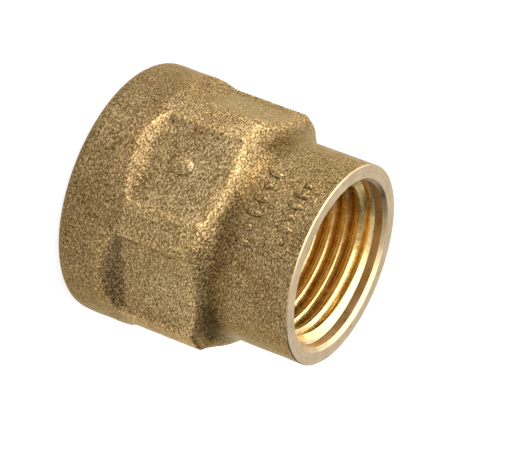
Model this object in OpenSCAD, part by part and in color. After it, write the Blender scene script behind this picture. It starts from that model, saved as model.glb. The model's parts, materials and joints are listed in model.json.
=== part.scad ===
// Reducing coupling: one forged brass body with an internal pipe thread in each end.
// The axis is +Z. The large end stands on Z = 0 and the first wrench flat faces +X.

/* [Overall] */
// Length from the large end face to the small end face
overall_length = 30.8; // [26:0.1:40]

/* [Large end] */
// Major diameter of the internal thread in the large end (3/4 inch pipe thread)
large_thread_diameter = 26.441; // [24:0.001:34]
// Thickness of the collar outside the roots of the large thread
collar_wall = 2.88; // [2.4:0.01:6]
// Length of the round collar, up to where the run-outs of the flats begin
collar_length = 7; // [5:0.1:9]
// Radius of the rounded outer rim at the large end face
rim_radius = 1.8; // [0.5:0.1:2.4]
// Depth of the large socket, to the end of its plain bore
large_socket_depth = 11; // [9:0.1:12]

/* [Grip] */
// Number of wrench flats around the grip
flat_count = 6; // [6:2:8]
// Distance from the collar surface down to the middle of each flat
flat_depth = 1.75; // [0.8:0.05:1.9]
// Share of each side of the grip that its flat takes up, the rest being a rib at each corner
flat_share = 0.69; // [0.6:0.01:0.8]
// Distance from the collar surface down to the ribs between the flats
rib_drop = 0.25; // [0.05:0.05:0.5]
// Length of the sloping run-out from the collar down to each flat
runout_length = 1.7; // [0.8:0.05:2.5]
// Length from the end of the collar to the corner of the shoulder
grip_length = 11.4; // [8:0.1:13]
// Angle between the shoulder cone and the axis
shoulder_angle = 65; // [50:1:68]
// Radius of the hollow blend from the shoulder to the small end
shoulder_blend = 3.4; // [1.5:0.1:4.2]

/* [Small end] */
// Major diameter of the internal thread in the small end (1/2 inch pipe thread)
small_thread_diameter = 20.955; // [17:0.001:22]
// Thickness of the small end outside the roots of the thread
small_wall = 2.32; // [1.5:0.01:3]
// Depth of the small socket, to the end of its plain bore
small_socket_depth = 13.5; // [9:0.1:14]

/* [Threads] */
// Threads per inch, the same at both ends
threads_per_inch = 14; // [11:1:19]
// Distance by which each bore is cut back outside the sharpest crests that the thread allows
crest_allowance = 0.24; // [0.1:0.01:0.27]
// Depth of the plain entry bore ahead of each thread
entry_depth = 1.5; // [0.8:0.1:2]
// Radial clearance of the entry bore outside the thread roots
entry_clearance = 0.12; // [0.05:0.01:0.4]
// Radial width and depth of the chamfer at each mouth
mouth_chamfer = 0.45; // [0.2:0.05:0.8]

/* [Waterway] */
// Radial width of the stop ledge at the bottom of the small socket
ledge_width = 0.5; // [0.3:0.05:1.5]
// Angle between the cone at the bottom of the large socket and the axis
funnel_angle = 59; // [45:1:75]

/* [Hidden] */

round_fn = 96;
// How far a cutter runs past the face that it cuts
overrun = 1;

// Thread form: 55 degree flanks. A sixth of the sharp height is cut off at the root, and a sixth plus
// the crest allowance at the crest.
flank_angle = 27.5;
inch = 25.4;
pitch = inch / threads_per_inch;
thread_height = pitch / (2 * tan(flank_angle)) * 2 / 3 - crest_allowance;
root_land = pitch / 6;
// Straight pieces in one turn of a thread, and the part of a turn over which it fades out
turn_steps = 36;
fade_turns = 0.75;
// How far a thread cutter reaches inside its bore
cutter_relief = 0.2;

large_root_r = large_thread_diameter / 2;
large_bore_r = large_root_r - thread_height;
small_root_r = small_thread_diameter / 2;
small_bore_r = small_root_r - thread_height;
waterway_r = small_bore_r - ledge_width;

collar_r = large_root_r + collar_wall;
flat_r = collar_r - flat_depth;
small_r = small_root_r + small_wall;
rib_r = collar_r - rib_drop;
// Half the width of a flat's floor, which its side slopes widen at 45 degrees
flat_half_width = flat_share * collar_r * sin(180 / flat_count);
flat_start = collar_length + runout_length;
shoulder_start = collar_length + grip_length;

// The blend touches the shoulder cone at (blend_touch_r, blend_touch_z) and the small end at blend_end
blend_r = min(shoulder_blend, 0.9 * (collar_r - small_r) / (1 - cos(shoulder_angle)));
blend_end = shoulder_start
    + (blend_r * (1 - cos(shoulder_angle)) + (collar_r - small_r) * cos(shoulder_angle)) / sin(shoulder_angle);
blend_touch_r = small_r + blend_r * (1 - cos(shoulder_angle));
blend_touch_z = blend_end - blend_r * sin(shoulder_angle);

funnel_length = (large_bore_r - waterway_r) / tan(funnel_angle);

// Half outline of the forging before its flats are pressed in, as [radius, height]
module forging_outline() {
    difference() {
        union() {
            translate([collar_r - rim_radius, rim_radius])
                circle(r = rim_radius, $fn = round_fn);
            square([collar_r - rim_radius, rim_radius]);
            polygon([
                [0, rim_radius],
                [collar_r, rim_radius],
                [collar_r, collar_length],
                [rib_r, flat_start],
                [rib_r, shoulder_start + rib_drop / tan(shoulder_angle)],
                [blend_touch_r, blend_touch_z],
                [small_r + blend_r, blend_end],
                [small_r, blend_end],
                [small_r, overall_length],
                [0, overall_length]
            ]);
        }
        translate([small_r + blend_r, blend_end])
            circle(r = blend_r, $fn = round_fn);
    }
}

// The metal removed above one flat, with its sloping run-out into the collar and its side slopes
module flat_cutter() {
    reach = flat_depth + overrun;
    intersection() {
        rotate([90, 0, 0])
            linear_extrude(height = 2 * collar_r, center = true)
                polygon([
                    [flat_r, flat_start],
                    [flat_r, blend_end],
                    [flat_r + reach, blend_end],
                    [flat_r + reach, flat_start - runout_length * reach / flat_depth]
                ]);
        linear_extrude(height = overall_length)
            polygon([
                [flat_r, -flat_half_width],
                [flat_r, flat_half_width],
                [flat_r + reach, flat_half_width + reach],
                [flat_r + reach, -flat_half_width - reach]
            ]);
    }
}

module forging() {
    difference() {
        rotate_extrude($fn = round_fn)
            forging_outline();
        for (i = [0 : flat_count - 1])
            rotate([0, 0, i * 360 / flat_count])
                flat_cutter();
    }
}

// A socket that opens downwards at Z = 0: mouth chamfer, entry bore, lead-in cone and plain bore
module socket(root_r, bore_r, depth) {
    entry_r = root_r + entry_clearance;
    mouth_r = entry_r + mouth_chamfer;
    lead_in = entry_r - bore_r;
    translate([0, 0, -overrun])
        cylinder(r = mouth_r, h = overrun, $fn = round_fn);
    cylinder(r1 = mouth_r, r2 = entry_r, h = mouth_chamfer, $fn = round_fn);
    cylinder(r = entry_r, h = entry_depth, $fn = round_fn);
    translate([0, 0, entry_depth])
        cylinder(r1 = entry_r, r2 = bore_r, h = lead_in, $fn = round_fn);
    cylinder(r = bore_r, h = depth, $fn = round_fn);
}

// Corners of the thread cutter's section at one step, as [radius, height above the groove's middle]
function groove_section(bore_r, root_r) =
    let (inner_r = bore_r - cutter_relief,
         outer_half = root_land / 2,
         inner_half = outer_half + (root_r - inner_r) * tan(flank_angle))
    [[inner_r, -inner_half], [root_r, -outer_half], [root_r, outer_half], [inner_r, inner_half]];

// Root radius of the cutter where turns_left turns remain before its blind end
function fading_root(bore_r, root_r, turns_left) =
    let (floor_r = bore_r - cutter_relief / 2)
    floor_r + (root_r - floor_r) * min(1, turns_left / fade_turns);

// Right-hand helical cutter that starts in the entry bore of a socket and fades out at thread_end
module thread_cutter(root_r, bore_r, thread_end) {
    start = entry_depth - pitch / 2;
    turns = (thread_end - start) / pitch;
    steps = floor(turns * turn_steps);
    points = [
        for (i = [0 : steps])
            let (section = groove_section(bore_r, fading_root(bore_r, root_r, turns - i / turn_steps)))
            for (corner = section)
                [
                    corner[0] * cos(360 * i / turn_steps),
                    corner[0] * sin(360 * i / turn_steps),
                    start + pitch * i / turn_steps + corner[1]
                ]
    ];
    sides = [
        for (i = [0 : steps - 1])
            for (j = [0 : 3])
                let (a = 4 * i + j, b = 4 * i + (j + 1) % 4)
                each [[a, b, a + 4], [b, b + 4, a + 4]]
    ];
    last = 4 * steps;
    polyhedron(points, concat([[3, 2, 1, 0]], sides, [[last, last + 1, last + 2, last + 3]]));
}

// Length of the threaded part of a socket, which ends one pitch above its bottom
function thread_end(depth) = depth - pitch;

module large_socket() {
    socket(large_root_r, large_bore_r, large_socket_depth);
    thread_cutter(large_root_r, large_bore_r, thread_end(large_socket_depth));
}

// The same shape turned over, so its helix keeps its right hand
module small_socket() {
    translate([0, 0, overall_length])
        rotate([180, 0, 0]) {
            socket(small_root_r, small_bore_r, small_socket_depth);
            thread_cutter(small_root_r, small_bore_r, thread_end(small_socket_depth));
        }
}

// The passage between the sockets, with its funnel up from the large one
module waterway() {
    translate([0, 0, large_socket_depth])
        cylinder(r1 = large_bore_r, r2 = waterway_r, h = funnel_length, $fn = round_fn);
    translate([0, 0, large_socket_depth])
        cylinder(r = waterway_r, h = overall_length - large_socket_depth - small_socket_depth, $fn = round_fn);
}

module coupling_body() {
    color([0.66, 0.52, 0.28])
        difference() {
            forging();
            large_socket();
            small_socket();
            waterway();
        }
}

coupling_body();
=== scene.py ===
"""Looks of the reducing coupling: one forged brass body, machined and threaded at both ends.

The body is one closed surface, built column by column around the axis. A column is the half section at
one angle. Its rows are rings, except in the two threads, where they follow the helix, so that every crest
and root has a clean edge. Small closed domes, sunk into its skin, are the pips. All shape functions work in
millimetres, and the mesh is written in metres.
"""

import json
import math

import bpy
from mathutils import Matrix, Vector, noise


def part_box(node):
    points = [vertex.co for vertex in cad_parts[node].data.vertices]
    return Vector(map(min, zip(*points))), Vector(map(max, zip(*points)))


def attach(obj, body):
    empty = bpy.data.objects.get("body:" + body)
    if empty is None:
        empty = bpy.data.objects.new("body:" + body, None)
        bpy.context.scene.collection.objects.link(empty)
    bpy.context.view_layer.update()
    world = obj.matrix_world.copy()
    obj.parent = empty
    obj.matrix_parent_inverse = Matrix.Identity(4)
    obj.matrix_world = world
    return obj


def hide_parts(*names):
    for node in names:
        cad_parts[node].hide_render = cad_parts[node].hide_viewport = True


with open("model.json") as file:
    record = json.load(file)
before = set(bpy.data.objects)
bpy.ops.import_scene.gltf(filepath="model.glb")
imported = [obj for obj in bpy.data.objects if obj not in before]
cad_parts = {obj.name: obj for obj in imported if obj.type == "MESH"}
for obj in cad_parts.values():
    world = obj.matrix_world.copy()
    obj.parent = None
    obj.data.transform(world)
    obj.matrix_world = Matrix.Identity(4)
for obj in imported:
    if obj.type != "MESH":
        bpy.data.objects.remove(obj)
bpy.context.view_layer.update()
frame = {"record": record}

MM = 0.001
NODE = "coupling_body"
BOX_LOW, BOX_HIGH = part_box(NODE)
MOUNTS = {mount["name"]: mount for mount in frame["record"]["mounts"]}

# ---------------------------------------------------------------- sizes, in millimetres

LENGTH = BOX_HIGH[2] / MM
COLLAR_R = BOX_HIGH[0] / MM
FLAT_R = MOUNTS["wrench_flat_front"]["pos_m"][0] / MM

RIM_R = 1.8
RIM_STEPS = 8
COLLAR_LENGTH = 7.0
RUNOUT_LENGTH = 1.7
FLAT_START = COLLAR_LENGTH + RUNOUT_LENGTH
SHOULDER_START = 18.4
SHOULDER_ANGLE = math.radians(65)
BLEND_R = 3.4
FLATS = 6
RIB_DROP = 0.25
RIB_R = COLLAR_R - RIB_DROP
FLAT_SHARE = 0.69
FLAT_HALF_WIDTH = FLAT_SHARE * COLLAR_R * math.sin(math.pi / FLATS)

INCH = 25.4
THREADS_PER_INCH = 14
PITCH = INCH / THREADS_PER_INCH
FLANK = math.radians(27.5)
ROOT_LAND = PITCH / 6
CREST_ALLOWANCE = 0.24
THREAD_HEIGHT = PITCH / (2 * math.tan(FLANK)) * 2 / 3 - CREST_ALLOWANCE
LARGE_BORE_R = MOUNTS["large_thread"]["dims"]["r_mm"]
SMALL_BORE_R = MOUNTS["small_thread"]["dims"]["r_mm"]
LARGE_DEPTH = 11.0
SMALL_DEPTH = 13.5
ENTRY_DEPTH = 1.5
ENTRY_CLEARANCE = 0.12
MOUTH_CHAMFER = 0.45
LEAD_IN = THREAD_HEIGHT + ENTRY_CLEARANCE
FADE_TURNS = 0.75
LEDGE_WIDTH = 0.5
WATERWAY_R = SMALL_BORE_R - LEDGE_WIDTH
FUNNEL_ANGLE = math.radians(59)
FUNNEL_LENGTH = (LARGE_BORE_R - WATERWAY_R) / math.tan(FUNNEL_ANGLE)

SMALL_WALL = 2.32
SMALL_R = SMALL_BORE_R + THREAD_HEIGHT + SMALL_WALL
BLEND_END = (
    SHOULDER_START
    + (BLEND_R * (1 - math.cos(SHOULDER_ANGLE)) + (COLLAR_R - SMALL_R) * math.cos(SHOULDER_ANGLE))
    / math.sin(SHOULDER_ANGLE)
)

# How far the forging rounds its corners and hollows, the shoulder's corner and the end of the collar
CORNER_SOFT = 0.35
HOLLOW_SOFT = 0.55
SHOULDER_SOFT = 0.45
COLLAR_SOFT = 0.4

# How far the skin dips below the drawn size, in two sizes of lump, and how it fades out at the two ends
UNEVEN = 0.045
UNEVEN_SHARE = 0.9
BROAD_LUMPS = 0.38
SMALL_LUMPS = 0.9
SMALL_LUMP_SHARE = 0.6
SMALL_LUMP_SHIFT = Vector((7.0, 3.0, 5.0))
LARGE_END_FADE = 1.5
SMALL_END_FADE = 1.0

# How far around a place its neighbours are taken to tell a hollow from an edge, and a rib from a flat
HOLLOW_REACH = 0.45
RIB_REACH = 2.4
RIB_WEIGHT = 0.5

# The broken outer edge of the small end face, and the rounding at the bottom of a thread groove
EDGE_BREAK = 0.16
ROOT_SOFT = 0.16
# How far below its bore a thread's groove starts to rise out of the metal
BLIND_DEPTH = 0.1

# Spacing of the rows and columns. The reaches are how far fine rows go past the ends of each slope.
COLUMNS = 360
FINE_STEP = 0.22
COARSE_STEP = 0.6
FINE_REACH = 0.9
SHOULDER_REACH = 1.0
BLEND_REACH = 0.2
SHARP_ANGLE = math.radians(40)
# Least distance between a thread's rows and the rings above and below it
ROW_GAP = 0.02


# ---------------------------------------------------------------- shape


def mix(a, b, t):
    return a + (b - a) * t


def smoothstep(low, high, x):
    t = min(1.0, max(0.0, (x - low) / (high - low)))
    return t * t * (3 - 2 * t)


def soft_min(a, b, size):
    h = max(0.0, size - abs(a - b)) / size
    return min(a, b) - h * h * size / 4


def soft_max(a, b, size):
    return -soft_min(-a, -b, size)


def body_radius(z):
    """Radius of the forging before its flats, at a height above the rim."""
    collar = mix(COLLAR_R, RIB_R, smoothstep(COLLAR_LENGTH - COLLAR_SOFT, FLAT_START + COLLAR_SOFT, z))
    cone = COLLAR_R - (z - SHOULDER_START) * math.tan(SHOULDER_ANGLE)
    if z >= BLEND_END:
        return SMALL_R
    touch_z = BLEND_END - BLEND_R * math.sin(SHOULDER_ANGLE)
    if z > touch_z:
        rise = BLEND_END - z
        return SMALL_R + BLEND_R - math.sqrt(BLEND_R**2 - rise**2)
    return soft_min(collar, cone, SHOULDER_SOFT)


def flat_distance(z):
    """Distance of a flat's plane from the axis, with its run-out up to the collar."""
    slope = (COLLAR_R - FLAT_R) / RUNOUT_LENGTH
    return FLAT_R + soft_max(0.0, (FLAT_START - z) * slope, HOLLOW_SOFT)


def pocket_radius(angle, z):
    """Radius of the recess pressed for one flat: its floor, and side slopes at 45 degrees."""
    step = 2 * math.pi / FLATS
    from_middle = abs((angle + step / 2) % step - step / 2)
    floor_radius = flat_distance(z) / math.cos(from_middle)
    side_radius = (FLAT_R - FLAT_HALF_WIDTH) / (math.cos(from_middle) - math.sin(from_middle))
    return soft_max(floor_radius, side_radius, HOLLOW_SOFT)


def outer_radius(angle, z):
    radius = soft_min(body_radius(z), pocket_radius(angle, z), CORNER_SOFT)
    place = Vector((radius * math.cos(angle), radius * math.sin(angle), z))
    broad = noise.noise(place * BROAD_LUMPS)
    small = noise.noise(place * SMALL_LUMPS + SMALL_LUMP_SHIFT)
    fade = smoothstep(0.0, LARGE_END_FADE, z) * smoothstep(LENGTH, LENGTH - SMALL_END_FADE, z)
    return radius - UNEVEN * (UNEVEN_SHARE + (broad + SMALL_LUMP_SHARE * small)) * fade


def hollowness(angle, z):
    """How much the skin around a place stands above it: over 0 in hollows, under 0 on edges and ribs."""
    if z < RIM_R or z > LENGTH - 2 * RIB_REACH:
        return 0.0
    here = outer_radius(angle, z)

    def around(reach):
        turn = reach / here
        return (
            outer_radius(angle + turn, z)
            + outer_radius(angle - turn, z)
            + outer_radius(angle, z + reach)
            + outer_radius(angle, z - reach)
        ) / 4 - here

    return around(HOLLOW_REACH) + RIB_WEIGHT * min(0.0, around(RIB_REACH))


def groove_radius(offset, bore_r, root_r):
    """Radius of a thread at a distance along the axis from the middle of its groove."""
    flank = root_r - (abs(offset) - ROOT_LAND / 2) / math.tan(FLANK)
    return max(bore_r, soft_min(root_r, flank, ROOT_SOFT))


def groove_samples():
    """Places across one pitch where a thread gets a row, as distances from the middle of the groove."""
    edge = ROOT_LAND / 2 + THREAD_HEIGHT * math.tan(FLANK)
    # Two on the groove's floor and its rounding, and two on either side of the crest's corner
    half = [0.12, 0.24, edge - 0.06, edge + 0.04]
    return [-x for x in reversed(half)] + [0.0] + half + [PITCH / 2]


def threaded_rows(name, angle, bore_r, depth, hand):
    """Rows of one thread, from its entry bore inwards, as (key, radius, depth below the mouth, groove depth
    for the painted shade).
    """
    root_r = bore_r + THREAD_HEIGHT
    entry_r = root_r + ENTRY_CLEARANCE
    thread_end = depth - PITCH
    samples = groove_samples()
    turn = angle / (2 * math.pi) * hand
    rows = []
    # The first groove is outside the mouth at every angle, and the rows outside the thread are skipped
    first = -3 if hand > 0 else -2
    for index in range(first, int(depth / PITCH) + 4):
        for k, sample in enumerate(samples):
            below = (index + turn) * PITCH + sample
            if not ENTRY_DEPTH + ROW_GAP < below < depth - ROW_GAP:
                continue
            turns_left = (thread_end - below + sample) / PITCH
            blind_root = mix(bore_r - BLIND_DEPTH, root_r, min(1.0, max(0.0, turns_left / FADE_TURNS)))
            cone = entry_r - (below - ENTRY_DEPTH)
            radius = max(cone, groove_radius(sample, bore_r, blind_root))
            # The last value is the depth in the groove, which paints shade into the thread's colour
            rows.append(((name, index * len(samples) + k), radius, below, (radius - bore_r) / THREAD_HEIGHT))
    return rows


def inner_rows(angle):
    """Rows from the small mouth down to the large one, as (key, material, radius, z, groove depth for the
    painted shade).
    """
    rows = []

    def ring(key, material, radius, z, groove_shade=0.0):
        rows.append((key, material, radius, z, groove_shade))

    def thread_ring(key, radius, z, below, groove_shade):
        ring(key, "thread", radius, z, groove_shade if below > ENTRY_DEPTH + LEAD_IN else 0.0)

    small_entry = SMALL_BORE_R + THREAD_HEIGHT + ENTRY_CLEARANCE
    large_entry = LARGE_BORE_R + THREAD_HEIGHT + ENTRY_CLEARANCE
    face_radii = (SMALL_R - EDGE_BREAK, mix(SMALL_R, small_entry, 0.4), small_entry + MOUTH_CHAMFER)
    for i, radius in enumerate(face_radii):
        ring(f"small_face_{i}", "machined", radius, LENGTH)
    ring("small_chamfer", "machined", small_entry, LENGTH - MOUTH_CHAMFER)
    ring("small_entry", "machined", small_entry, LENGTH - ENTRY_DEPTH)
    for key, radius, below, groove_shade in threaded_rows("small", angle, SMALL_BORE_R, SMALL_DEPTH, -1):
        thread_ring(key, radius, LENGTH - below, below, groove_shade)
    ring("ledge_out", "thread", SMALL_BORE_R, LENGTH - SMALL_DEPTH)
    ring("ledge_in", "thread", WATERWAY_R, LENGTH - SMALL_DEPTH)
    ring("funnel_top", "thread", WATERWAY_R, LARGE_DEPTH + FUNNEL_LENGTH)
    ring("funnel_bottom", "thread", LARGE_BORE_R, LARGE_DEPTH)
    for key, radius, below, groove_shade in reversed(threaded_rows("large", angle, LARGE_BORE_R, LARGE_DEPTH, 1)):
        thread_ring(key, radius, below, below, groove_shade)
    ring("large_entry", "thread", large_entry, ENTRY_DEPTH)
    ring("large_chamfer", "machined", large_entry, MOUTH_CHAMFER)
    ring("large_face_0", "machined", large_entry + MOUTH_CHAMFER, 0.0)
    return rows


def outer_heights():
    """Heights of the rows on the outside, closer together at the run-outs and the shoulder."""
    stretches = [
        (RIM_R, COLLAR_LENGTH - FINE_REACH, COARSE_STEP),
        (COLLAR_LENGTH - FINE_REACH, FLAT_START + FINE_REACH, FINE_STEP),
        (FLAT_START + FINE_REACH, SHOULDER_START - SHOULDER_REACH, COARSE_STEP),
        (SHOULDER_START - SHOULDER_REACH, BLEND_END + BLEND_REACH, FINE_STEP),
        (BLEND_END + BLEND_REACH, LENGTH - EDGE_BREAK, COARSE_STEP),
    ]
    heights = []
    for low, high, step in stretches:
        count = math.ceil((high - low) / step)
        heights += [mix(low, high, i / count) for i in range(count)]
    return heights + [LENGTH - EDGE_BREAK]


OUTER_HEIGHTS = outer_heights()


def outer_rows(angle):
    """Rows from the large end face up the outside to the small mouth."""
    rows = [("rim_0", "machined", COLLAR_R - RIM_R, 0.0, 0.0)]
    for i in range(1, RIM_STEPS):
        turn = math.pi / 2 * i / RIM_STEPS
        z = RIM_R * (1 - math.cos(turn))
        radius = outer_radius(angle, z) - RIM_R * (1 - math.sin(turn))
        rows.append((f"rim_{i}", "forged", radius, z, 0.0))
    for i, z in enumerate(OUTER_HEIGHTS):
        material = "forged" if z < OUTER_HEIGHTS[-1] else "machined"
        rows.append((f"outer_{i}", material, outer_radius(angle, z), z, hollowness(angle, z)))
    return rows


# The order of the material slots
MATERIALS = ["forged", "machined", "thread"]


def build_body():
    """The body's mesh. Neighbouring columns are joined row by row, by key, and the pips are added."""
    points, columns, hollows = [], [], []
    for c in range(COLUMNS):
        angle = 2 * math.pi * c / COLUMNS
        column = []
        for key, material, radius, z, hollow in outer_rows(angle) + inner_rows(angle):
            column.append((key, material, len(points)))
            points.append((radius * math.cos(angle) * MM, radius * math.sin(angle) * MM, z * MM))
            hollows.append(hollow)
        columns.append(column)

    per_pitch = len(groove_samples())
    shifts = {"small": per_pitch, "large": -per_pitch}
    seam = [
        ((key[0], key[1] + shifts[key[0]]) if isinstance(key, tuple) else key, material, i)
        for key, material, i in columns[0]
    ]
    faces, slots = [], []
    for c in range(COLUMNS):
        left = columns[c]
        right = columns[c + 1] if c + 1 < COLUMNS else seam
        join_columns(left, right, faces, slots)
    for angle, z, long, wide, rise in forged_marks():
        add_pip(points, faces, slots, angle, z, long, wide, rise)
    hollows += [0.0] * (len(points) - len(hollows))
    mesh = bpy.data.meshes.new("body")
    mesh.from_pydata(points, [], faces)
    mesh.polygons.foreach_set("material_index", slots)
    mesh.polygons.foreach_set("use_smooth", [True] * len(faces))
    mesh.set_sharp_from_angle(angle=SHARP_ANGLE)
    mesh.attributes.new("hollow", "FLOAT", "POINT").data.foreach_set("value", hollows)
    body = bpy.data.objects.new("body", mesh)
    bpy.context.scene.collection.objects.link(body)
    return body


LOZENGE = (math.radians(-2), 12.7, 3.6, 2.6, 0.42)
LONG_PIP, SHORT_PIP = 2.2, 1.2
PIP_WIDTH, PIP_RISE = 1.05, 0.34
PIP_ROWS_SPREAD = math.radians(42)
PIP_ROWS_MIDDLE = math.radians(1.5)
PIP_ROWS = (
    (23.3, (LONG_PIP, SHORT_PIP, LONG_PIP, LONG_PIP, SHORT_PIP, LONG_PIP)),
    (27.7, (SHORT_PIP, LONG_PIP, LONG_PIP, SHORT_PIP, LONG_PIP, SHORT_PIP, LONG_PIP)),
)
# How far a pip's foot is sunk below the skin, and its lowest visible ring
PIP_SUNK = 0.3
PIP_FOOT = 0.05
PIP_RINGS = 4
PIP_SIDES = 16


def forged_marks():
    """Plain raised pips where the forging carries its marks, as (angle, z, length, width, rise)."""
    marks = [LOZENGE]
    for z, lengths in PIP_ROWS:
        for i, long in enumerate(lengths):
            angle = PIP_ROWS_MIDDLE + PIP_ROWS_SPREAD * (i / (len(lengths) - 1) - 0.5)
            marks.append((angle, z, long, PIP_WIDTH, PIP_RISE))
    return marks


def add_pip(points, faces, slots, angle, z, long, wide, rise):
    """A low closed dome, long along the axis, that stands on the forging's skin."""
    base_r = outer_radius(angle, z)
    first = len(points)
    for ring in range(PIP_RINGS + 1):
        lean = math.pi / 2 * ring / PIP_RINGS
        foot = base_r - PIP_FOOT
        height = base_r - PIP_SUNK if ring == 0 else foot + (rise + PIP_FOOT) * math.sin(lean)
        size = max(0.02, math.cos(lean) ** 0.6) if ring else 1.0
        for k in range(PIP_SIDES):
            turn = 2 * math.pi * k / PIP_SIDES
            across = size * wide / 2 * math.sin(turn)
            along = size * long / 2 * math.cos(turn)
            points.append(
                (
                    (height * math.cos(angle) - across * math.sin(angle)) * MM,
                    (height * math.sin(angle) + across * math.cos(angle)) * MM,
                    (z + along) * MM,
                )
            )
    for ring in range(PIP_RINGS):
        start = first + ring * PIP_SIDES
        for k in range(PIP_SIDES):
            a, b = start + k, start + (k + 1) % PIP_SIDES
            faces.append([b, a, a + PIP_SIDES, b + PIP_SIDES])
    faces.append([first + k for k in range(PIP_SIDES)])
    faces.append([first + PIP_RINGS * PIP_SIDES + k for k in reversed(range(PIP_SIDES))])
    slots.extend([MATERIALS.index("forged")] * (PIP_RINGS * PIP_SIDES + 2))


def join_columns(left, right, faces, slots):
    """Faces between two columns. Where a thread's row is in only one of them, the face takes it in."""
    where = {key: i for i, (key, _, _) in enumerate(right)}
    anchors = [(i, where[key]) for i, (key, _, _) in enumerate(left) if key in where]
    anchors.append((anchors[0][0] + len(left), anchors[0][1] + len(right)))
    for (a0, b0), (a1, b1) in zip(anchors, anchors[1:]):
        loop = [left[i % len(left)][2] for i in range(a1, a0 - 1, -1)]
        loop += [right[i % len(right)][2] for i in range(b0, b1 + 1)]
        faces.append(loop)
        slots.append(MATERIALS.index(left[a0 % len(left)][1]))


body = build_body()


# ---------------------------------------------------------------- materials


def new_material(name):
    material = bpy.data.materials.new(name)
    material.use_nodes = True
    nodes = material.node_tree.nodes
    nodes.clear()
    output = nodes.new("ShaderNodeOutputMaterial")
    shader = nodes.new("ShaderNodeBsdfPrincipled")
    material.node_tree.links.new(shader.outputs["BSDF"], output.inputs["Surface"])
    return material, nodes, material.node_tree.links, shader


def math_node(nodes, links, operation, a, b):
    """A maths node. Its inputs are sockets or numbers. Returns its output socket."""
    node = nodes.new("ShaderNodeMath")
    node.operation = operation
    for socket, value in zip(node.inputs, (a, b)):
        if isinstance(value, (int, float)):
            socket.default_value = value
        else:
            links.new(value, socket)
    return node.outputs[0]


def noise_node(nodes, links, vector, scale, detail, roughness):
    node = nodes.new("ShaderNodeTexNoise")
    node.inputs["Scale"].default_value = scale
    node.inputs["Detail"].default_value = detail
    node.inputs["Roughness"].default_value = roughness
    links.new(vector, node.inputs["Vector"])
    return node.outputs["Fac"]


def ramp_node(nodes, links, fac, stops):
    """A colour ramp with stops given as (position, colour)."""
    node = nodes.new("ShaderNodeValToRGB")
    elements = node.color_ramp.elements
    while len(elements) < len(stops):
        elements.new(0.5)
    for element, (position, color) in zip(elements, stops):
        element.position = position
        element.color = (*color, 1)
    links.new(fac, node.inputs["Fac"])
    return node.outputs["Color"]


def range_node(nodes, links, value, from_low, from_high, to_low, to_high):
    node = nodes.new("ShaderNodeMapRange")
    node.inputs["From Min"].default_value = from_low
    node.inputs["From Max"].default_value = from_high
    node.inputs["To Min"].default_value = to_low
    node.inputs["To Max"].default_value = to_high
    links.new(value, node.inputs["Value"])
    return node.outputs["Result"]


def multiply_color(nodes, links, a, b):
    node = nodes.new("ShaderNodeMix")
    node.data_type = "RGBA"
    node.blend_type = "MULTIPLY"
    node.inputs["Factor"].default_value = 1.0
    links.new(a, node.inputs["A"])
    links.new(b, node.inputs["B"])
    return node.outputs["Result"]


def bump_node(nodes, links, height, distance, strength, normal=None):
    node = nodes.new("ShaderNodeBump")
    node.inputs["Strength"].default_value = strength
    node.inputs["Distance"].default_value = distance
    links.new(height, node.inputs["Height"])
    if normal is not None:
        links.new(normal, node.inputs["Normal"])
    return node.outputs["Normal"]


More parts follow.
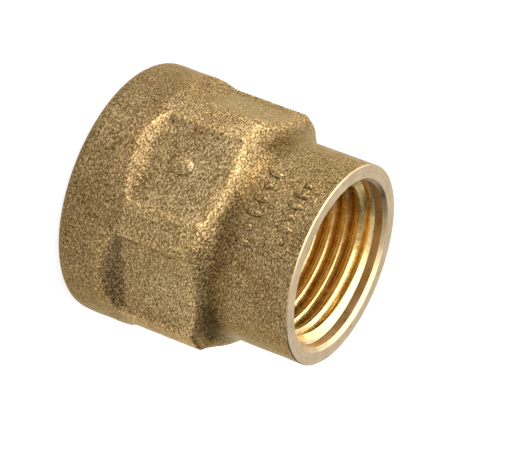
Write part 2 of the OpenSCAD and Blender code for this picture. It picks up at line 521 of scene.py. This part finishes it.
def forged_brass():
    """The dull, grainy skin of a hot forging, with painted shade in its hollows, on its collar and at the
    shoulder's blend, and painted highlights on its edges.
    """
    material, nodes, links, shader = new_material("forged_brass")
    place = nodes.new("ShaderNodeTexCoord").outputs["Object"]
    squeeze = nodes.new("ShaderNodeVectorMath")
    squeeze.operation = "MULTIPLY"
    squeeze.inputs[1].default_value = (1.0, 1.0, 1.9)
    links.new(place, squeeze.inputs[0])
    grain = noise_node(nodes, links, squeeze.outputs["Vector"], 3400, 1.5, 0.5)
    coarse = noise_node(nodes, links, place, 1300, 2.0, 0.55)
    patches = noise_node(nodes, links, place, 190, 4.0, 0.6)
    hollow = nodes.new("ShaderNodeAttribute")
    hollow.attribute_name = "hollow"

    skin = ramp_node(
        nodes,
        links,
        grain,
        [(0.29, (0.076, 0.045, 0.014)), (0.50, (0.262, 0.179, 0.079)), (0.71, (0.62, 0.475, 0.26))],
    )
    mottle = ramp_node(nodes, links, patches, [(0.32, (0.72, 0.67, 0.60)), (0.66, (1.0, 1.0, 1.0))])
    skin = multiply_color(nodes, links, skin, mottle)
    # Painted highlight and painted shade: edges and ribs are made brighter in the colour, and hollows darker
    painted_edge_light_and_hollow_shade = ramp_node(
        nodes,
        links,
        range_node(nodes, links, hollow.outputs["Fac"], -0.2, 0.2, 0.0, 1.0),
        [
            (0.0, (1.28, 1.26, 1.21)),
            (0.5, (1.0, 1.0, 1.0)),
            (0.56, (1.0, 1.0, 1.0)),
            (0.8, (0.60, 0.54, 0.46)),
        ],
    )
    skin = multiply_color(nodes, links, skin, painted_edge_light_and_hollow_shade)
    split = nodes.new("ShaderNodeSeparateXYZ")
    links.new(place, split.inputs["Vector"])
    up_body = range_node(nodes, links, split.outputs["Z"], 0.0, LENGTH * MM, 0.0, 1.0)
    # Painted shade: the collar and the hollow blend above the shoulder are darkened in the colour, and the
    # stretch between them is made a little lighter
    painted_shade_by_height = ramp_node(
        nodes,
        links,
        up_body,
        [
            (COLLAR_LENGTH / LENGTH, (0.80, 0.78, 0.77)),
            (FLAT_START / LENGTH, (1.06, 1.06, 1.07)),
            (19.5 / LENGTH, (1.04, 1.04, 1.05)),
            (20.4 / LENGTH, (0.60, 0.54, 0.45)),
            (21.6 / LENGTH, (0.64, 0.59, 0.51)),
            (23.0 / LENGTH, (0.92, 0.90, 0.87)),
        ],
    )
    skin = multiply_color(nodes, links, skin, painted_shade_by_height)
    links.new(skin, shader.inputs["Base Color"])
    shader.inputs["Metallic"].default_value = 1.0
    links.new(range_node(nodes, links, patches, 0.3, 0.7, 0.34, 0.46), shader.inputs["Roughness"])
    lumps = noise_node(nodes, links, place, 520, 2.0, 0.5)
    relief = math_node(nodes, links, "MULTIPLY", grain, 0.28)
    relief = math_node(nodes, links, "ADD", relief, math_node(nodes, links, "MULTIPLY", coarse, 0.4))
    relief = math_node(nodes, links, "ADD", relief, math_node(nodes, links, "MULTIPLY", lumps, 0.8))
    links.new(bump_node(nodes, links, relief, 0.00018, 1.0), shader.inputs["Normal"])
    shader.inputs["Specular Tint"].default_value = (0.95, 0.82, 0.6, 1)
    return material


def turned_lines(nodes, links, place, spacing, along_axis):
    """Noise in thin rings around the axis, like the lines a cutting tool leaves."""
    split = nodes.new("ShaderNodeSeparateXYZ")
    links.new(place, split.inputs["Vector"])
    flat = nodes.new("ShaderNodeCombineXYZ")
    links.new(split.outputs["X"], flat.inputs["X"])
    links.new(split.outputs["Y"], flat.inputs["Y"])
    radius = nodes.new("ShaderNodeVectorMath")
    radius.operation = "LENGTH"
    links.new(flat.outputs["Vector"], radius.inputs[0])
    line = nodes.new("ShaderNodeTexNoise")
    line.noise_dimensions = "1D"
    line.inputs["Scale"].default_value = 1 / spacing
    line.inputs["Detail"].default_value = 2
    along = math_node(nodes, links, "MULTIPLY", split.outputs["Z"], along_axis)
    links.new(math_node(nodes, links, "ADD", radius.outputs["Value"], along), line.inputs["W"])
    return line.outputs["Fac"]


def machined_brass():
    """The turned end faces: bright, with fine turned lines, faint mottling and small nicks."""
    material, nodes, links, shader = new_material("machined_brass")
    place = nodes.new("ShaderNodeTexCoord").outputs["Object"]
    lines = turned_lines(nodes, links, place, 0.00022, 0.6)
    mottle = noise_node(nodes, links, place, 420, 3.0, 0.6)
    nicks = noise_node(nodes, links, place, 1500, 2.0, 0.6)
    tint = ramp_node(nodes, links, mottle, [(0.3, (0.56, 0.42, 0.24)), (0.7, (0.68, 0.53, 0.33))])
    dents = ramp_node(nodes, links, nicks, [(0.28, (0.55, 0.5, 0.42)), (0.36, (1.0, 1.0, 1.0))])
    shade = ramp_node(nodes, links, lines, [(0.3, (0.84, 0.82, 0.78)), (0.6, (1.0, 1.0, 1.0))])
    color = multiply_color(nodes, links, multiply_color(nodes, links, tint, dents), shade)
    links.new(color, shader.inputs["Base Color"])
    shader.inputs["Metallic"].default_value = 1.0
    links.new(range_node(nodes, links, mottle, 0.3, 0.7, 0.26, 0.4), shader.inputs["Roughness"])
    fine = bump_node(nodes, links, lines, 0.00002, 0.6)
    links.new(bump_node(nodes, links, nicks, 0.00005, 0.5, fine), shader.inputs["Normal"])
    return material


def thread_brass():
    """Cut brass in the bores: golden and glossy, with lines from the tap and painted shade in the grooves.
    """
    material, nodes, links, shader = new_material("thread_brass")
    place = nodes.new("ShaderNodeTexCoord").outputs["Object"]
    chatter = noise_node(nodes, links, place, 900, 3.0, 0.6)
    lines = turned_lines(nodes, links, place, 0.00016, 1.0)
    depth = nodes.new("ShaderNodeAttribute")
    depth.attribute_name = "hollow"
    tint = ramp_node(nodes, links, chatter, [(0.3, (0.78, 0.56, 0.22)), (0.7, (0.92, 0.72, 0.36))])
    # Painted shade: the thread's colour gets darker towards the bottom of each groove
    groove_shade_stops = [(0.15, (1.0, 1.0, 1.0)), (0.95, (0.74, 0.64, 0.44))]
    groove_shade = ramp_node(nodes, links, depth.outputs["Fac"], groove_shade_stops)
    links.new(multiply_color(nodes, links, tint, groove_shade), shader.inputs["Base Color"])
    shader.inputs["Metallic"].default_value = 1.0
    links.new(range_node(nodes, links, chatter, 0.3, 0.7, 0.16, 0.3), shader.inputs["Roughness"])
    fine = bump_node(nodes, links, lines, 0.00002, 0.8)
    links.new(bump_node(nodes, links, chatter, 0.00006, 0.6, fine), shader.inputs["Normal"])
    return material


body.data.materials.append(forged_brass())
body.data.materials.append(machined_brass())
body.data.materials.append(thread_brass())

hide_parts(NODE)
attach(body, "root")

# ---------------------------------------------------------------- floor, light and camera

CENTRE = Vector((0, 0, LENGTH * MM / 2))
VIEW_ELEVATION = math.radians(24.64)
VIEW_AZIMUTH = math.radians(15.6)
VIEW_ROLL = math.radians(90 + 20.84)
VIEW_DISTANCE = 0.418
FOCAL_LENGTH = 240.5
# Where the view is aimed, to the right of the object's centre and below it, in millimetres
AIM_RIGHT = 3.05
AIM_DOWN = 0.49
# Direction of the object's axis in the picture, from level
AXIS_TILT = math.radians(21.2)
LIGHT_DISTANCE = 0.5
FLOOR_DROP = 0.01


def floor():
    bpy.ops.mesh.primitive_plane_add(size=4)
    plane = bpy.context.object
    plane.name = "floor"
    plane.location.z = -FLOOR_DROP * MM
    material, _, _, shader = new_material("floor_white")
    shader.inputs["Base Color"].default_value = (0.25, 0.25, 0.25, 1)
    shader.inputs["Roughness"].default_value = 0.9
    shader.inputs["Emission Color"].default_value = (1, 1, 1, 1)
    shader.inputs["Emission Strength"].default_value = 0.85
    plane.data.materials.append(material)


def camera():
    """The camera. Returns its right and up, and the direction from the object's centre to it."""
    back = Vector(
        (
            math.cos(VIEW_ELEVATION) * math.cos(VIEW_AZIMUTH),
            math.cos(VIEW_ELEVATION) * math.sin(VIEW_AZIMUTH),
            math.sin(VIEW_ELEVATION),
        )
    )
    level_right = Vector((-math.sin(VIEW_AZIMUTH), math.cos(VIEW_AZIMUTH), 0))
    roll = Matrix.Rotation(VIEW_ROLL, 3, back)
    right = roll @ level_right
    up = back.cross(right)
    place = CENTRE + back * VIEW_DISTANCE
    aim = CENTRE + right * AIM_RIGHT * MM - up * AIM_DOWN * MM
    back = (place - aim).normalized()
    right = up.cross(back).normalized()
    up = back.cross(right)
    data = bpy.data.cameras.new("camera")
    data.lens = FOCAL_LENGTH
    data.clip_start = 0.01
    view = bpy.data.objects.new("camera", data)
    view.matrix_world = Matrix.Translation(place) @ Matrix((right, up, back)).transposed().to_4x4()
    bpy.context.scene.collection.objects.link(view)
    bpy.context.scene.camera = view
    return right, up, (place - CENTRE).normalized()


def soft_light(name, direction, size, power):
    """A round softbox in a direction from the object's centre, which it faces."""
    data = bpy.data.lights.new(name, "AREA")
    data.shape = "DISK"
    data.size = size
    data.energy = power
    light = bpy.data.objects.new(name, data)
    light.location = CENTRE + direction.normalized() * LIGHT_DISTANCE
    light.rotation_euler = direction.to_track_quat("Z", "Y").to_euler()
    bpy.context.scene.collection.objects.link(light)


floor()
right, up, back = camera()
axis = Vector((0, 0, 1))
above = (up + right * math.tan(AXIS_TILT)).normalized()
front = Vector((back.x, back.y, 0)).normalized()
soft_light("key", front * 0.5 + above * 0.85 + axis * 0.25, 0.35, 2.4)
soft_light("overhead", axis + above * 0.35 + front * 0.05, 0.7, 3.8)
soft_light("behind", axis * 0.4 - front * 0.87 + above * 0.25, 1.1, 2.2)
soft_light("side", axis * 0.35 - front * 0.4 + above * 0.85, 0.45, 0.6)
soft_light("front", front + axis * 0.7 - above * 0.15, 0.8, 0.55)
soft_light("fill", axis * 0.5 - above * 0.6 + front * 0.4, 0.8, 1.1)

world = bpy.data.worlds.new("studio")
world.use_nodes = True
world.node_tree.nodes["Background"].inputs["Color"].default_value = (1, 1, 1, 1)
world.node_tree.nodes["Background"].inputs["Strength"].default_value = 0.12
bpy.context.scene.world = world
bpy.context.scene.view_settings.view_transform = "Standard"
